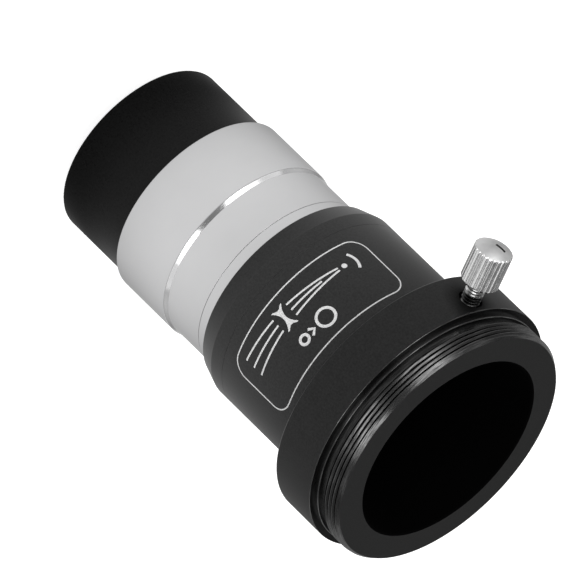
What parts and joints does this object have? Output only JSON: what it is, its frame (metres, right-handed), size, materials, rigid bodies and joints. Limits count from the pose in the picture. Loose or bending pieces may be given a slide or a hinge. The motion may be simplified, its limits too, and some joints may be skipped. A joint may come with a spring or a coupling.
{
  "type": "barlow lens",
  "caption": "Push-in telescope amplifier tube with a negative doublet in a screw-off cell, an eyepiece socket with a clamping thumbscrew and a male camera thread.",
  "frame": {"origin": "on the optical axis, in the plane of the lens cell's front rim, which the part stands on", "axes": "+Z along the optical axis from the telescope end to the eyepiece end; -Y along the thumbscrew, outwards"},
  "size_m": [0.044, 0.0541, 0.0728],
  "materials": {
    "black_anodised": "satin black anodised",
    "satin_chrome": "satin, with a polished step",
    "bright_chrome": "bright",
    "coated_glass": "polished, anti-reflection coated"
  },
  "bodies": {
    "barlow_body": {"nosepiece": "satin_chrome", "nosepiece_stop_ring": "satin_chrome", "body_reducer": "black_anodised", "body_barrel": "black_anodised"},
    "doublet": {"crown_lens_element": "coated_glass", "flint_lens_element": "coated_glass"},
    "lens_cell": {"lens_cell_housing": "black_anodised", "lens_retaining_ring": "black_anodised"},
    "screw_stud": {"thumbscrew_stud": "bright_chrome"},
    "screw_head": {"thumbscrew_head": "bright_chrome"}
  },
  "joints": [
    {"name": "lens_cell_travel", "type": "slide", "parent": "barlow_body", "child": "doublet", "axis": [0, 0, -1], "range_m": [0, 0.0036]},
    {"name": "lens_cell_turn", "type": "hinge", "parent": "doublet", "child": "lens_cell", "pos_m": [0, 0, 0], "axis": [0, 0, -1], "range_deg": [0, 2160]},
    {"name": "thumbscrew_travel", "type": "slide", "parent": "barlow_body", "child": "screw_stud", "axis": [0, -1, 0], "range_m": [-0.0029, 0.004]},
    {"name": "thumbscrew_turn", "type": "hinge", "parent": "screw_stud", "child": "screw_head", "pos_m": [0, -0.0251, 0.06505], "axis": [0, -1, 0], "range_deg": [-2088, 2880]}
  ],
  "couplings": [
    {"joint": "lens_cell_travel", "follows": "lens_cell_turn", "m_per_rad": 0.00009549},
    {"joint": "thumbscrew_turn", "follows": "thumbscrew_travel", "rad_per_m": 12566}
  ]
}
